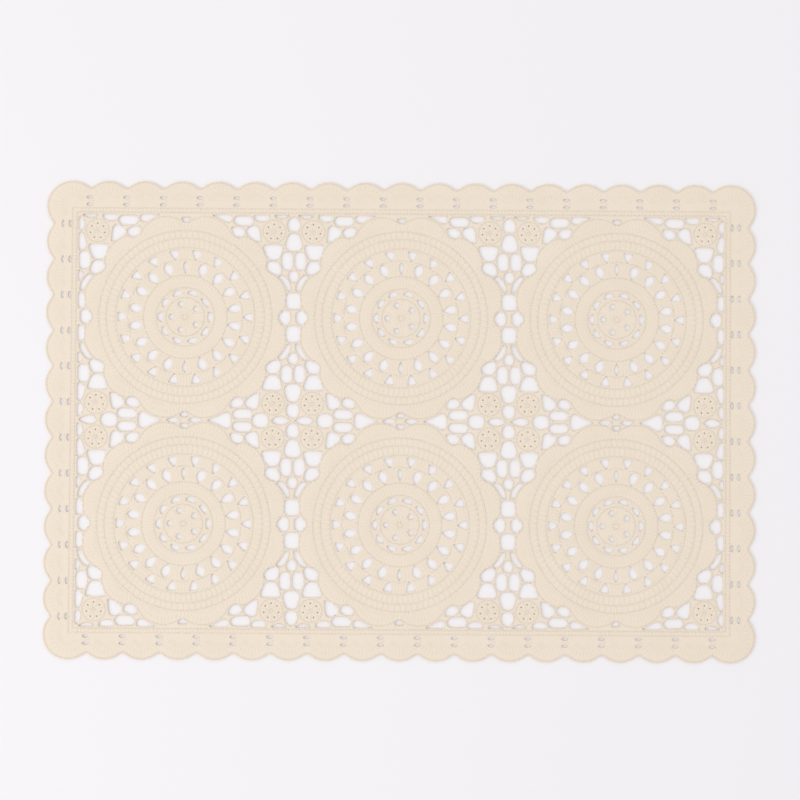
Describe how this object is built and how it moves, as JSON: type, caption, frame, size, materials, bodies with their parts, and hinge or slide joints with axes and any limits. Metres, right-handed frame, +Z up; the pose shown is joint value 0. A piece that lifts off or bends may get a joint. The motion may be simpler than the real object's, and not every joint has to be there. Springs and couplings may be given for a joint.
{
  "type": "openwork crochet-lace placemat",
  "caption": "Flat rectangular placemat with a scalloped edge, round lace medallions with rings of oval openings, and an open net between them.",
  "frame": {"origin": "middle of the mat, on the surface that it lies on", "axes": "+X along the long side, +Y along the short side, +Z up through the sheet"},
  "size_m": [0.45, 0.303, 0.0016],
  "materials": {
    "mat": "cream, soft satin, moulded with thread texture"
  },
  "bodies": {
    "root": {"mat": "mat"}
  },
  "joints": []
}
